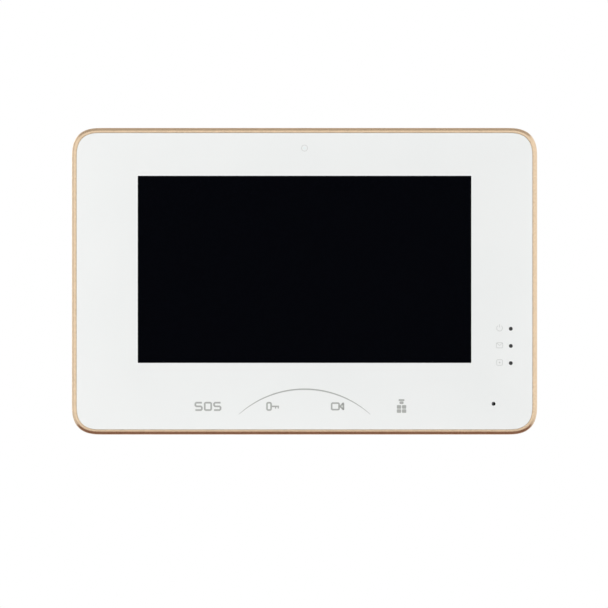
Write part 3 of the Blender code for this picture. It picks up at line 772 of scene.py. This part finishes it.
def rear_shell():
    """The back cover: shell, recess for the wall plate, cable pocket, screw tubes, slots and holes."""
    x, z, _ = spans("gold_trim")
    back, rim = spans("rear_cover")[2]
    bend = 2.4  # radius of the back edge
    profile = [(1.5, rim), (4.9, back + 2.6)]
    for step in range(1, 7):
        angle = math.pi / 2.0 * step / 6
        inward = 5.0 + bend * (1.0 - math.cos(angle))
        profile.append((inward, back + bend * (1.0 - math.sin(angle))))
    inside = [(3.4, rim + 0.6), (6.6, back + 3.4), (8.2, back + COVER_WALL)]
    shell = loft("rear_shell", case_sections(x, z, profile), "white_abs", "monitor")
    boolean(shell, loft("tool", case_sections(x, z, inside), "white_abs"))

    recess = (around(0.0, RECESS_X), RECESS_Z)
    pocket = (around(0.0, POCKET_X), POCKET_Z)
    start = back + 0.6
    solid_recess = rounded(*inset(*recess, -COVER_WALL), 3.0, 5)
    join(shell, solid_recess, (start, RECESS_FLOOR + COVER_WALL))
    join(shell, rounded(*inset(*pocket, -POCKET_WALL), 3.0, 5), (start, POCKET_FLOOR + 1.2))
    tube, head, shank = 4.0, 3.0, 1.7  # radii round the case screws
    tubes = Tool()
    for spot in mirrored_spots(SCREW_SPOT):
        tubes.add(disc(spot, tube, 32), (start, 11.5))
    tubes.apply(shell, "UNION")

    cut(shell, rounded(*recess, 2.0, 5), (-1.0, RECESS_FLOOR))
    openings = Tool()
    openings.add(rounded(*pocket, 2.0, 5), (-1.0, POCKET_FLOOR))
    for spot in mirrored_spots(SCREW_SPOT):
        openings.add(disc(spot, head, 32), (-1.0, 5.5))
    add_back_slots(openings, back)
    openings.apply(shell)

    holes = Tool()
    for spot in mirrored_spots(SCREW_SPOT):
        holes.add(disc(spot, shank, 24), (5.0, 12.5))
    wall = (POCKET_Z[1] - 0.6, POCKET_Z[1] + POCKET_WALL + 0.5)
    plug_x = middle(spans("power_plug")[0])
    jack_hole = (-40.4, -23.6), (4.2, 15.9)
    plug_hole = around(plug_x, 6.0), (4.2, 12.0)
    header_hole = (9.7, 32.3), (6.8, 12.0)
    for across, reach in (jack_hole, plug_hole, header_hole):
        holes.add(rounded(across, reach, 0.5, 3), wall, "z")
    reset_x, _, reset_d = spans("reset_button")
    holes.add(disc((middle(reset_x), middle(reset_d)), 1.3, 24), wall, "z")
    holes.add(rectangle((100.0, 110.0), (13.4, 25.6)), (10.1, 11.6))
    holes.apply(shell)
    soften(shell, 0.22, 2, math.radians(40))
    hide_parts("rear_cover")


def add_back_slots(tool, back):
    """Loudspeaker slots, cooling slots, the wall plate's hook slots and the catch's hole."""
    through = (back - 1.0, back + COVER_WALL + 0.2)
    speaker_x, speaker_z, _ = spans("speaker_basket")
    centre = (middle(speaker_x), middle(speaker_z))
    for row in range(-3, 4):
        half = math.sqrt(13.0**2 - (row * 4.0) ** 2)
        tool.add(rounded(around(centre[0], half), around(centre[1] + row * 4.0, 0.9), 0.88, 6), through)
    for column in range(-6, 7):
        tool.add(rounded(around(column * 8.0, 1.0), (56.0, 61.0), 0.98, 6), through)
    floor = (RECESS_FLOOR - 1.0, RECESS_FLOOR + COVER_WALL + 1.0)
    for hook_z in HOOK_Z:
        for side in HOOK_SIDES:
            slot = (side[0] - 0.5, side[1] + 0.5), (hook_z - 7.2, hook_z + PLATE_THICK + 0.3)
            tool.add(rounded(*slot, 0.8, 4), floor)
    tool.add(rounded(around(0.0, 6.5), (-56.0, -49.8), 0.6, 4), floor)


def wall_bracket():
    """The steel wall plate: pressed outline, four bent hooks, screw holes and a cable window."""
    x, z, _ = spans("wall_plate")
    through = (-1.0, PLATE_THICK + 1.0)
    outline = rounded(x, z, 4.0)
    plate = prism("wall_bracket", outline, (0.0, PLATE_THICK), "zinc_steel", "wall_plate")
    holes = Tool()
    holes.add(rounded(around(0.0, 28.0), (-42.0, -12.0), 2.0, 8), through)
    for slot_x in (-30.0, 30.0):
        holes.add(rounded(around(slot_x, 2.1), around(0.0, 5.0), 2.08, 10), through)
    for spot in mirrored_spots((36.0, 42.0)):
        holes.add(disc(spot, 2.25, 40), through)
    for hook_z in HOOK_Z:
        for side in HOOK_SIDES:
            window = (side[0] - 0.3, side[1] + 0.3), (hook_z + PLATE_THICK + 0.3, hook_z + 13.5)
            holes.add(rounded(*window, 0.8, 4), through)
    holes.apply(plate)
    hooks = Tool()
    for hook_z in HOOK_Z:
        for side in HOOK_SIDES:
            hooks.add(bent_hook(hook_z), side, "x")
    hooks.apply(plate, "UNION")
    soften(plate, 0.18, 2)
    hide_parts("wall_plate")


def bent_hook(z, rise=7.5, reach=6.2):
    """A hook from the side: its arm bends up in a smooth curve."""
    outer, thick = 2.3, PLATE_THICK
    outline = [(z, 0.8)]
    for step in range(9):
        angle = math.pi / 2.0 * step / 8
        outline.append((z + outer * (1.0 - math.cos(angle)), reach - outer * (1.0 - math.sin(angle))))
    outline += [(z + rise - 0.4, reach), (z + rise, reach - 0.4), (z + rise, reach - thick + 0.3)]
    outline.append((z + rise - 0.3, reach - thick))
    inner = outer - thick
    for step in range(8, -1, -1):
        angle = math.pi / 2.0 * step / 8
        up = z + thick + inner * (1.0 - math.cos(angle))
        outline.append((up, reach - thick - inner * (1.0 - math.sin(angle))))
    outline.append((z + thick, 0.8))
    return outline


def catch():
    """The sprung catch: finger pad, ramped nose and two spring arms."""
    x = spans("lock_catch")[0]
    outline = rounded(around(0.0, 7.0), (-57.0, -47.5), 0.8, 5)
    pad = prism("catch", outline, (4.6, 7.6), "grey_plastic", "catch")
    nose = [(-50.3, 5.5), (-50.3, 1.6), (-50.5, 1.35), (-54.0, 0.42), (-55.2, 0.42)]
    nose += [(-55.5, 0.7), (-55.5, 5.5)]
    join(pad, nose, around(0.0, 6.0), "x")
    join(pad, rounded(x, (-54.0, -51.0), 1.2, 5), (6.2, 7.0))
    soften(pad, 0.2, 2)
    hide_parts("lock_catch")


def screws():
    """Case screws with a cross recess and rings for a thread, and plug clamp screws with a slot."""
    for number in range(1, 5):
        name = f"case_screw_{number}"
        x, z, d = spans(name)
        centre = (middle(x), middle(z))
        head = d[0]
        profile = [(1.7, head), (2.15, head + 0.07), (2.5, head + 0.25), (2.68, head + 0.55)]
        profile += [(2.7, head + 0.8), (2.7, 5.2), (1.4, 5.2)]
        reach = 5.6
        while reach < d[1] - 0.6:
            profile += [(1.4, reach), (1.15, reach + 0.2), (1.4, reach + 0.4)]
            reach += 0.75
        profile += [(1.2, d[1] - 0.1), (0.9, d[1])]
        screw = turned(f"screw_{number}", centre, profile, "zinc_steel", "monitor", sides=36)
        cut(screw, plus_sign(centre, 1.45, 0.3), (head - 1.0, head + 1.1))
        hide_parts(name)
    for number in (1, 2):
        name = f"clamp_screw_{number}"
        x, z, d = spans(name)
        centre = (middle(x), middle(z))
        profile = [(1.32, d[0]), (1.45, d[0] + 0.08), (1.5, d[0] + 0.22), (1.5, d[1])]
        piece, body = f"wire_clamp_{number}", f"clamp_{number}"
        screw = turned(piece, centre, profile, "nickel_steel", body, sides=40)
        cut(screw, rectangle(around(centre[0], 2.5), around(centre[1], 0.3)), (d[0] - 1.0, d[0] + 0.7))
        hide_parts(name)


def terminal():
    """The two-way screw terminal and the socket it pulls out of."""
    x, z, d = spans("power_plug")
    centre = middle(x)
    outline = rounded(x, (z[0], -14.3), 0.4, 3)
    plug = prism("terminal_plug", outline, d, "green_plastic", "plug")
    join(plug, rounded(around(centre, 4.3), (-16.0, z[1]), 0.3, 3), (5.4, 9.0))
    wells = Tool()
    for clamp in (1, 2):
        clamp_x, clamp_z, _ = spans(f"clamp_screw_{clamp}")
        wells.add(disc((middle(clamp_x), middle(clamp_z)), 1.8, 36), (2.0, 6.4))
        wells.add(rounded(around(middle(clamp_x), 1.3), (-28.0, -16.0), 0.2, 2), (6.9, 9.5))
    wells.apply(plug)
    grooves = Tool()
    for groove in (-23.6, -22.2, -20.8):
        for side in ((x[0] - 1.0, x[0] + 0.25), (x[1] - 0.25, x[1] + 1.0)):
            grooves.add(rectangle(side, around(groove, 0.3)), (4.4, 9.0))
    grooves.apply(plug)
    soften(plug, 0.15, 2)
    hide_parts("power_plug")

    x, z, d = spans("power_socket")
    outline = rounded(x, z, 0.3, 3)
    socket = prism("terminal_socket", outline, d, "green_plastic", "monitor")
    cut(socket, rounded(around(middle(x), 4.7), (-15.0, -6.0), 0.3, 3), (5.0, 9.4))
    soften(socket, 0.15, 2)
    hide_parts("power_socket")


def network_jack():
    """A shielded jack with a dark liner and eight sprung contacts."""
    x, z, d = spans("lan_jack")
    outline = rounded(x, d, 0.5, 4)
    shell = prism("network_jack", outline, z, "nickel_steel", "monitor", "z")
    mouth = ((-37.9, -26.1), (5.2, 13.4))
    cut(shell, rounded(*mouth, 0.3, 3), (z[0] - 1.0, -1.2), "z")
    soften(shell, 0.12, 2)
    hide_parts("lan_jack")
    outer = rounded(*inset(*mouth, 0.03), 0.3, 3)
    inner = rounded(*inset(*mouth, 0.5), 0.2, 3)
    top, low = -1.3, z[0] + 0.35
    sections = [(outer, low), (outer, top), (inner, top), (inner, low)]
    loft("jack_liner", sections, "black_plastic", "monitor", "z", ring=True)
    contacts = Tool()
    for i in range(8):
        wire_x = middle(x) + 1.02 * (i - 3.5)
        path = [(-1.5, 12.7), (-9.6, 10.2), (-10.4, 10.6), (-10.5, 10.9), (-9.9, 10.75), (-1.5, 12.85)]
        contacts.add(path, around(wire_x, 0.22), "x")
    mesh_object("jack_contacts", contacts.bm, "gold_contact", "monitor", "nickel_steel")


def pin_header():
    """The alarm header: a shroud with chamfered edges and eight gold pins."""
    x, z, d = spans("alarm_header")
    outline = rounded(x, z, 0.3, 3)
    shroud = prism("header_shroud", outline, d, "black_plastic", "monitor")
    cut(shroud, rounded((10.8, 31.2), (-15.0, -6.5), 0.25, 3), (7.8, 11.0))
    keyway = rectangle(around(21.0, 2.2), (z[0] - 1.0, -8.5))
    cut(shroud, keyway, (6.8, 8.2))
    soften(shroud, 0.12, 2)
    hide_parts("alarm_header")
    pins = Tool()
    for i in range(8):
        pin_x = 21.0 + 2.5 * (i - 3.5)
        pins.add(rectangle(around(pin_x, 0.3), around(9.4, 0.3)), (-12.4, -6.6), "z")
    mesh_object("header_pins", pins.bm, "gold_contact", "monitor", "black_plastic")


def reset_cap():
    """The reset pin with a slightly domed tip."""
    x, z, d = spans("reset_button")
    centre = (middle(x), middle(d))
    low, high = z
    profile = [(0.55, low), (0.82, low + 0.06), (0.97, low + 0.22), (1.0, low + 0.4), (1.0, high - 0.8)]
    profile += [(1.7, high - 0.8), (1.8, high - 0.7), (1.8, high)]
    cap = turned("reset_cap", centre, profile, "grey_plastic", "reset", "z", sides=36)
    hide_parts("reset_button")


# Inside the monitor


def boxes(name, extents, finish, edge=0.08, segments=1):
    """One piece made of several separate boxes with slightly round edges."""
    tool = Tool()
    for x, z, d in extents:
        tool.add(rectangle(x, z), d)
    soften(mesh_object(name, tool.bm, finish, "monitor"), edge, segments)


def board_components():
    """Chips with their leads, coils and rows of passives on the main board's wall side."""
    face = spans("main_board")[2][0]
    chips = [(-19.0, 30.0, 5.0, 6.0), (42.0, 32.0, 9.0, 9.0), (46.0, 10.0, 6.0, 5.0), (88.0, 39.0, 6.0, 8.0)]
    bodies, leads = [], []
    for x, z, width, height in chips:
        bodies.append((around(x, width / 2.0), around(z, height / 2.0), (face - 1.2, face - 0.12)))
        leads += chip_leads(x, z, width, height, face)
    boxes("board_chips", bodies, "black_plastic")
    coils = [(-50.0, 12.0), (34.0, 14.0), (80.0, 12.0)]
    coil_depth = (face - 2.0, face - 0.05)
    boxes("board_coils", [(around(x, 2.4), around(z, 2.4), coil_depth) for x, z in coils], "ferrite", 0.3, 2)

    passives = []
    fields = [(-57.0, 20.0, 4, 6), (-24.0, 10.0, 4, 4), (30.0, 38.0, 2, 3)]
    fields += [(52.0, 22.0, 2, 6), (68.0, 4.0, 4, 4)]
    for x0, z0, columns, rows in fields:
        for i in range(columns):
            for j in range(rows):
                upright = (i + 2 * j) % 5 == 0
                body, ends = passive(x0 + 3.1 * i, z0 + 2.6 * j, upright, face)
                passives.append(body)
                leads += ends
    boxes("board_passives", passives, "grey_plastic", 0.04)
    boxes("board_leads", leads, "nickel_steel", 0.03)


def chip_leads(x, z, width, height, face, pitch=0.8):
    """A chip's leads down both sides: a foot on the board and a bend up to the chip."""
    count = int((height - 1.0) / pitch)
    leads = []
    for i in range(count):
        lead_z = around(z + pitch * (i - (count - 1) / 2.0), 0.17)
        for side in (-1.0, 1.0):
            leads.append((around(x + side * (width / 2.0 + 0.4), 0.42), lead_z, (face - 0.2, face - 0.02)))
            leads.append((around(x + side * (width / 2.0 + 0.1), 0.12), lead_z, (face - 0.7, face - 0.22)))
    return leads


def passive(x, z, upright, face):
    """A resistor's or capacitor's body and its two metal ends."""
    long, short, end = 0.8, 0.4, 0.11
    spans_along = [around(0.0, long - 2.0 * end)]
    spans_along += [around(side * (long - 0.1), end) for side in (-1.0, 1.0)]
    depths = [(face - 0.55, face - 0.04)] + [(face - 0.57, face - 0.02)] * 2
    halves = [short, short + 0.01, short + 0.01]
    extents = []
    for (low, high), half, depth in zip(spans_along, halves, depths):
        if upright:
            extents.append((around(x, half), (z + low, z + high), depth))
        else:
            extents.append(((x + low, x + high), around(z, half), depth))
    return extents[0], extents[1:]


def loudspeaker():
    """The speaker's gasket, basket, magnet and moving cone, turned finely."""
    x, z, _ = spans("speaker_basket")
    centre = (middle(x), middle(z))
    gasket = [(15.5, 3.12), (15.7, 3.1), (17.8, 3.1), (18.0, 3.15), (18.0, 3.6), (15.5, 3.6)]
    turned_piece("speaker_ring", "speaker_gasket", centre, gasket, "foam", "monitor", ring=True)
    shell = [(15.2, 3.9), (17.8, 3.9), (18.0, 4.1), (18.0, 4.7), (17.8, 4.9), (16.6, 4.9), (16.2, 5.1)]
    shell += [(10.4, 8.85), (9.9, 9.0), (6.0, 9.0), (6.0, 8.2), (9.6, 8.2), (15.2, 4.7)]
    turned_piece("speaker_frame", "speaker_basket", centre, shell, "zinc_steel", "monitor", ring=True)
    magnet = [(9.7, 9.3), (10.0, 9.5), (10.0, 13.9), (9.6, 14.3)]
    turned_piece("speaker_ferrite", "speaker_magnet", centre, magnet, "ferrite", "monitor")
    cone = [(0.6, 4.88), (1.6, 4.93), (2.4, 5.05), (3.2, 5.32), (4.2, 5.8), (5.0, 6.3), (11.9, 4.75)]
    for step in range(9):
        angle = math.pi * step / 8
        cone.append((13.0 - 0.9 * math.cos(angle), 4.62 - 0.42 * math.sin(angle)))
    cone += [(14.6, 4.25), (14.6, 4.6), (13.95, 4.75), (13.0, 4.45), (12.1, 4.95), (5.4, 6.8), (5.4, 8.7)]
    cone += [(4.9, 8.7), (4.9, 6.9), (3.0, 5.8), (1.6, 5.4), (0.6, 5.35)]
    turned_piece("speaker_membrane", "speaker_cone", centre, cone, "paper_cone", "cone")


def turned_piece(name, node, centre, profile, finish, body, ring=False):
    piece = turned(name, centre, profile, finish, body, ring=ring, sides=64)
    level(piece)
    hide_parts(node)


# CAD nodes that a finer piece takes the place of
REPLACED = {"front_glass", "gold_trim", "rear_cover", "wall_plate", "lock_catch", "power_plug"}
REPLACED |= {"power_socket", "lan_jack", "alarm_header", "reset_button", "clamp_screw_1", "clamp_screw_2"}
REPLACED |= {"speaker_gasket", "speaker_basket", "speaker_magnet", "speaker_cone"}
REPLACED |= {f"case_screw_{number}" for number in range(1, 5)}


def carried_over():
    """Gives each CAD node its own material, and small round edges where it stays in view."""
    slots = {entry["node"]: entry["material_slot"] for entry in frame["record"]["subparts"]}
    for name, obj in frame["nodes"].items():
        obj.data.materials.clear()
        obj.data.materials.append(MATERIALS[slots[name]])
        thinnest = min(high - low for low, high in spans(name))
        if name in REPLACED or thinnest < 0.5:
            continue
        weld = obj.modifiers.new("weld", "WELD")
        weld.merge_threshold = 0.00001
        bevel = obj.modifiers.new("edges", "BEVEL")
        bevel.width = min(0.2, thinnest / 6.0) * MM
        bevel.segments = 2
        bevel.limit_method = "ANGLE"
        bevel.angle_limit = math.radians(50)


def studio():
    """A pale floor, soft lights, and cards that tint the reflections in the rim and the screen."""
    floor_mesh = bmesh.new()
    bmesh.ops.create_circle(floor_mesh, cap_ends=True, segments=96, radius=1.15)
    floor = bpy.data.meshes.new("floor")
    floor_mesh.to_mesh(floor)
    floor_mesh.free()
    paint = Surface("floor_paint", roughness=0.9)
    paint.colour(paint.noise(120.0), (0.80, 0.80, 0.80), (0.84, 0.84, 0.84))
    floor.materials.append(paint.material)
    floor_object = bpy.data.objects.new("floor", floor)
    floor_object.location = (0.0, 0.0, -0.35)
    bpy.context.scene.collection.objects.link(floor_object)

    area_light("left_softbox", (-1.15, -1.05, 0.25), 0.7, 1.0, 3.4)
    area_light("right_softbox", (1.15, -0.95, 0.1), 0.8, 1.0, 3.0)
    area_light("top_softbox", (0.0, -1.0, 1.1), 1.3, 0.5, 1.6)
    area_light("low_softbox", (0.0, -1.15, -0.85), 1.2, 0.5, 2.0)
    area_light("front_fill", (-0.55, -1.7, 0.35), 1.2, 1.2, 12.6)
    area_light("back_softbox", (0.5, 1.45, 0.6), 1.4, 1.2, 13.0)
    area_light("back_rim_light", (-1.0, 1.15, 0.25), 0.5, 0.9, 2.5, glossy=True)

    low = [(x, y, -0.34) for x, y in rectangle((-0.5, 0.5), (-0.25, 0.30))]
    card("low_flag", low, (0.27, 0.155, 0.125))
    top = [(x, y, 0.75) for x, y in rectangle((-0.9, 0.9), (-0.5, 1.2))]
    card("top_flag", top, (0.62, 0.58, 0.55))
    left = [(-0.9, y, z) for y, z in rectangle((-0.1, 1.2), (-0.3, 0.7))]
    card("left_flag", left, (0.80, 0.80, 0.80))
    dark_card()
    surroundings()


def surroundings():
    """White where the camera looks past the object, a white tent in reflections, and soft light."""
    world = bpy.data.worlds.new("studio")
    bpy.context.scene.world = world
    world.use_nodes = True
    tree = world.node_tree
    tree.nodes.clear()
    white = (1.0, 1.0, 1.0)
    mirrored = chosen(tree, "Is Glossy Ray", background(tree, white, 0.42), background(tree, TENT))
    seen = chosen(tree, "Is Camera Ray", mirrored, background(tree, white))
    out = tree.nodes.new("ShaderNodeOutputWorld")
    tree.links.new(seen, out.inputs["Surface"])


def background(tree, colour, strength=1.0):
    node = tree.nodes.new("ShaderNodeBackground")
    node.inputs["Color"].default_value = (*colour, 1.0)
    node.inputs["Strength"].default_value = strength
    return node.outputs["Background"]


def chosen(tree, kind, otherwise, then):
    """One shader for rays of a kind, and another for the rest."""
    node = tree.nodes.new("ShaderNodeMixShader")
    tree.links.new(tree.nodes.new("ShaderNodeLightPath").outputs[kind], node.inputs["Fac"])
    tree.links.new(otherwise, node.inputs[1])
    tree.links.new(then, node.inputs[2])
    return node.outputs["Shader"]


def dark_card():
    """A card in front of the screen, black in the middle and as bright as the tent at its soft edge."""
    corners = [(x, -1.30, z) for x, z in rectangle((-0.34, 0.34), (-0.24, 0.29))]
    obj = card("dark_card", corners, TENT)
    felt = Surface("dark_felt", roughness=1.0)
    parts = felt.tree.nodes.new("ShaderNodeSeparateXYZ")
    felt.link(felt.place, parts.inputs[0])
    aside = felt.math("SUBTRACT", felt.math("ABSOLUTE", parts.outputs["X"]), 0.195)
    above = felt.math("ABSOLUTE", felt.math("SUBTRACT", parts.outputs["Z"], 0.0275))
    beyond = felt.math("MAXIMUM", aside, felt.math("SUBTRACT", above, 0.118))
    glow = felt.ramp(felt.math("MULTIPLY", beyond, 9.0), (0.0, 0.0, 0.0), TENT, 0.0, 1.0)
    felt.link(glow, felt.shader.inputs["Emission Color"])
    felt.shader.inputs["Emission Strength"].default_value = 1.0
    felt.colour(felt.noise(2.0), (0.0, 0.0, 0.0), (0.001, 0.001, 0.001))
    felt.set(**{"Specular IOR Level": 0.0})
    obj.data.materials[0] = felt.material


def card(name, corners, colour):
    """A card that only reflections see."""
    mesh = bpy.data.meshes.new(name)
    mesh.from_pydata(corners, [], [(0, 1, 2, 3)])
    felt = Surface(name, roughness=1.0)
    felt.colour(felt.noise(2.0), tint(colour, 0.9), tint(colour, 1.1))
    mesh.materials.append(felt.material)
    obj = bpy.data.objects.new(name, mesh)
    bpy.context.scene.collection.objects.link(obj)
    obj.visible_camera = False
    obj.visible_shadow = False
    obj.visible_diffuse = False
    return obj


def area_light(name, spot, width, height, power, aim=(0.0, 0.0, 0.0), glossy=False):
    data = bpy.data.lights.new(name, "AREA")
    data.shape = "RECTANGLE"
    data.size = width
    data.size_y = height
    data.energy = power
    obj = bpy.data.objects.new(name, data)
    obj.location = spot
    obj.visible_glossy = glossy
    obj.rotation_euler = (Vector(aim) - Vector(spot)).to_track_quat("-Z", "Y").to_euler()
    bpy.context.scene.collection.objects.link(obj)
    return obj


def camera():
    """Square on to the glass, a long lens, with the monitor a little above the middle of the frame."""
    lens, sensor = 120.0, 36.0
    frame_width = 282.7  # what the frame takes in at the glass
    below = 10.6
    right = -0.25
    front = spans("front_glass")[2][1]
    data = bpy.data.cameras.new("camera")
    data.lens = lens
    data.sensor_width = sensor
    obj = bpy.data.objects.new("camera", data)
    obj.location = point(right, -below, front + frame_width * lens / sensor)
    obj.rotation_euler = (math.radians(90), 0.0, 0.0)
    bpy.context.scene.collection.objects.link(obj)
    bpy.context.scene.camera = obj
    bpy.context.scene.view_settings.view_transform = "Standard"


camera()
studio()
carried_over()
glass_panel()
screen_window()
key_marks()
arc_mark()
light_marks()
sensor_mark()
gold_rim()
rear_shell()
wall_bracket()
catch()
screws()
terminal()
network_jack()
pin_header()
reset_cap()
board_components()
loudspeaker()
